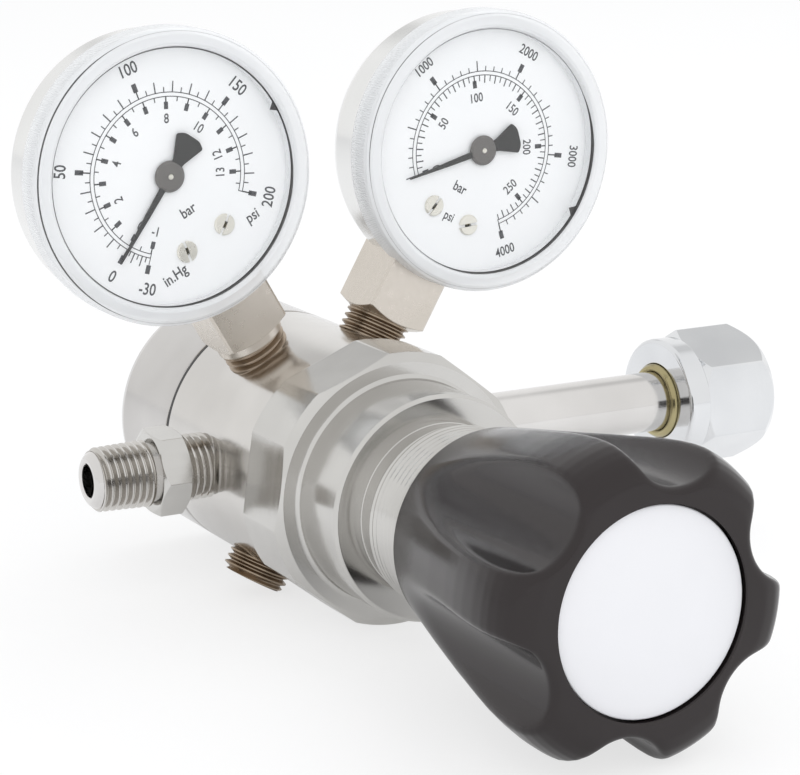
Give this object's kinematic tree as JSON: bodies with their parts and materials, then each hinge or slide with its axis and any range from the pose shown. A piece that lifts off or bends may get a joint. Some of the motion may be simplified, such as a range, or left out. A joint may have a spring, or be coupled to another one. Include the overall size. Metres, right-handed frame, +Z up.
{
  "type": "corrosive gas regulator",
  "caption": "Two-stage gas regulator with lobed hand knob, turned round body, tilted pressure gauges, swivel-nut inlet and pipe-nipple outlet.",
  "frame": {"origin": "centre of the inner end of the swivel nut's thread, 0.3 mm in front of the gasket", "axes": "+X out of the inlet nut along the inlet pipe, +Z up with the gauges above the body, the hand knob faces -Y"},
  "size_m": [0.17, 0.1667, 0.1167],
  "materials": {
    "body_steel": "finely turned stainless steel",
    "bonnet_steel": "polished stainless steel",
    "fitting_steel": "machined stainless steel",
    "thread_steel": "threads with brown sealant in the grooves",
    "stem_nickel": "satin stainless steel, warm tint",
    "case_chrome": "polished stainless steel",
    "spring_steel": "wound spring wire",
    "hard_steel": "ground steel",
    "brass": "turned brass",
    "bronze_filter": "sintered bronze, porous",
    "seat_polymer": "white fluoropolymer",
    "knob_black": "moulded, semi-gloss black",
    "disc_white": "white label disc, left blank",
    "window_clear": "clear moulded plastic",
    "dial_white": "white enamel with printed scales",
    "pointer_black": "black enamel"
  },
  "bodies": {
    "regulator": {"regulator_body": "body_steel", "rear_cap": "body_steel", "bonnet": "bonnet_steel", "outlet_seat": "seat_polymer", "outlet_seat_retainer": "fitting_steel", "outlet_poppet_spring": "spring_steel", "outlet_diaphragm": "hard_steel", "outlet_clamp_ring": "fitting_steel", "range_spring": "spring_steel", "first_seat": "seat_polymer", "first_seat_retainer": "fitting_steel", "first_poppet_spring": "spring_steel", "first_diaphragm": "hard_steel", "first_clamp_ring": "fitting_steel", "first_spring": "spring_steel", "first_spring_button": "hard_steel", "first_adjuster": "hard_steel", "inlet_nipple": "fitting_steel", "inlet_gasket": "seat_polymer", "inlet_filter": "bronze_filter", "outlet_nipple": "fitting_steel", "port_plug_low": "thread_steel", "port_plug_high": "thread_steel", "low_gauge_stem": "stem_nickel", "low_gauge_case": "case_chrome", "low_gauge_window": "window_clear", "low_gauge_dial": "dial_white", "low_gauge_dial_screws": "brass", "low_gauge_tube": "hard_steel", "low_gauge_movement": "brass", "high_gauge_stem": "stem_nickel", "high_gauge_case": "case_chrome", "high_gauge_window": "window_clear", "high_gauge_dial": "dial_white", "high_gauge_dial_screws": "brass", "high_gauge_tube": "hard_steel", "high_gauge_movement": "brass"},
    "outlet_valve": {"outlet_poppet": "hard_steel", "outlet_spring_plate": "fitting_steel"},
    "first_valve": {"first_poppet": "hard_steel", "first_spring_plate": "fitting_steel"},
    "button": {"spring_button": "brass"},
    "hand_knob": {"knob": "knob_black", "knob_disc": "disc_white", "adjusting_screw": "hard_steel", "knob_locknut": "hard_steel", "thrust_ball": "hard_steel"},
    "swivel_ring": {"inlet_ring": "brass"},
    "swivel_nut": {"inlet_nut": "bonnet_steel"},
    "low_pointer": {"low_gauge_pointer": "pointer_black", "low_gauge_arbor": "brass"},
    "high_pointer": {"high_gauge_pointer": "pointer_black", "high_gauge_arbor": "brass"},
    "low_quadrant": {"low_gauge_sector": "brass", "low_gauge_link": "brass"},
    "high_quadrant": {"high_gauge_sector": "brass", "high_gauge_link": "brass"}
  },
  "joints": [
    {"name": "outlet_valve_lift", "type": "slide", "parent": "regulator", "child": "outlet_valve", "axis": [0, 1, 0], "range_m": [0, 0.0006], "stiffness_N_per_m": 2000, "deforming": ["outlet_poppet_spring", "outlet_diaphragm"]},
    {"name": "first_valve_lift", "type": "slide", "parent": "regulator", "child": "first_valve", "axis": [0, -1, 0], "range_m": [0, 0.0006], "stiffness_N_per_m": 2000, "deforming": ["first_poppet_spring", "first_diaphragm", "first_spring"]},
    {"name": "button_advance", "type": "slide", "parent": "regulator", "child": "button", "axis": [0, 1, 0], "range_m": [0, 0.00751], "deforming": ["range_spring"]},
    {"name": "knob_turn", "type": "hinge", "parent": "button", "child": "hand_knob", "pos_m": [-0.096, -0.0613, 0], "axis": [0, 1, 0], "range_deg": [0, 1800]},
    {"name": "nut_slide", "type": "slide", "parent": "regulator", "child": "swivel_ring", "axis": [-1, 0, 0], "range_m": [0, 0.05]},
    {"name": "nut_turn", "type": "hinge", "parent": "swivel_ring", "child": "swivel_nut", "pos_m": [-0.006, 0, 0], "axis": [1, 0, 0], "continuous": true},
    {"name": "low_pointer_turn", "type": "hinge", "parent": "regulator", "child": "low_pointer", "pos_m": [-0.1305, 0, 0.05976], "axis": [0, 1, 0], "range_deg": [-18.5, 251.5], "stiffness_Nm_per_rad": 0.002},
    {"name": "low_quadrant_turn", "type": "hinge", "parent": "regulator", "child": "low_quadrant", "pos_m": [-0.12525, 0, 0.05066], "axis": [0, 1, 0], "range_deg": [-27, 2.2]},
    {"name": "high_pointer_turn", "type": "hinge", "parent": "regulator", "child": "high_pointer", "pos_m": [-0.0615, 0, 0.05976], "axis": [0, 1, 0], "range_deg": [0, 270], "stiffness_Nm_per_rad": 0.002},
    {"name": "high_quadrant_turn", "type": "hinge", "parent": "regulator", "child": "high_quadrant", "pos_m": [-0.06675, 0, 0.05066], "axis": [0, 1, 0], "range_deg": [-28.6, 0.2]}
  ],
  "couplings": [
    {"joint": "button_advance", "follows": "knob_turn", "m_per_rad": 0.00023873},
    {"joint": "low_quadrant_turn", "follows": "low_pointer_turn", "ratio": -0.10526},
    {"joint": "high_quadrant_turn", "follows": "high_pointer_turn", "ratio": -0.10526}
  ]
}
